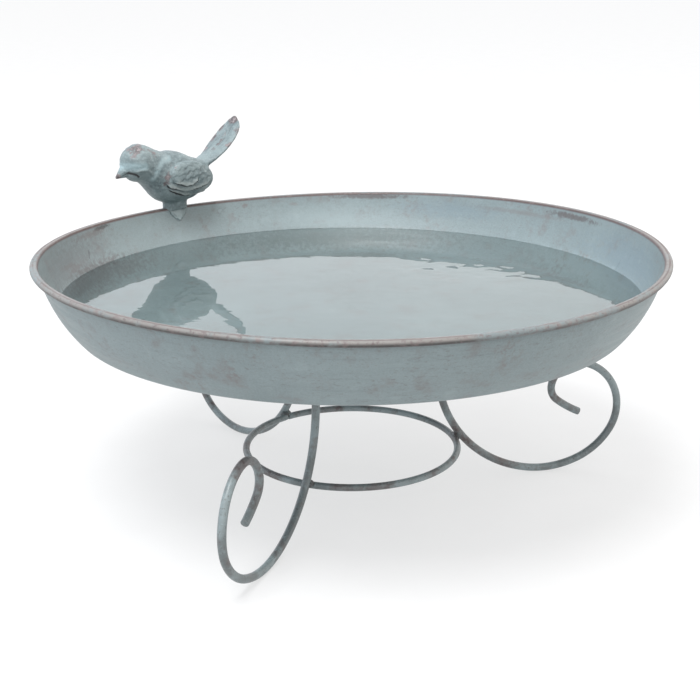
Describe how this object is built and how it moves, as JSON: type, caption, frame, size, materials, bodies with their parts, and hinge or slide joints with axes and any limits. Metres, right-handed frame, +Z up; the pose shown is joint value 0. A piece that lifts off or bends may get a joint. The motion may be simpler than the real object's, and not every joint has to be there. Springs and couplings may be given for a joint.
{
  "type": "bird bath",
  "caption": "Round steel dish with a rolled rim on scroll legs of bent wire tied by a ring, with a small cast bird perched on the rim.",
  "frame": {"origin": "on the ground under the middle of the dish", "axes": "+Z up, +X to the right and -Y to the front of a viewer who has the bird at the back left"},
  "size_m": [0.31, 0.31, 0.1744],
  "materials": {
    "painted_sheet": "brushed grey-blue paint, satin, rubbed brown on the rim",
    "painted_wire": "grey-blue paint, satin, rubbed brown in patches",
    "painted_weld": "grey-blue paint over lumpy weld",
    "bare_wire": "plain drawn wire",
    "painted_casting": "grey-blue paint over a fine cast surface, brown on the high spots"
  },
  "bodies": {
    "root": {"dish": "painted_sheet", "rim_wire": "bare_wire", "leg_right": "painted_wire", "leg_back": "painted_wire", "leg_front": "painted_wire", "bracing_ring": "painted_wire", "ring_weld_right": "painted_weld", "ring_weld_back": "painted_weld", "ring_weld_front": "painted_weld", "dish_weld_right": "painted_weld", "dish_weld_back": "painted_weld", "dish_weld_front": "painted_weld", "bird": "painted_casting", "bird_tongue": "painted_sheet", "bird_weld": "painted_weld"}
  },
  "joints": []
}
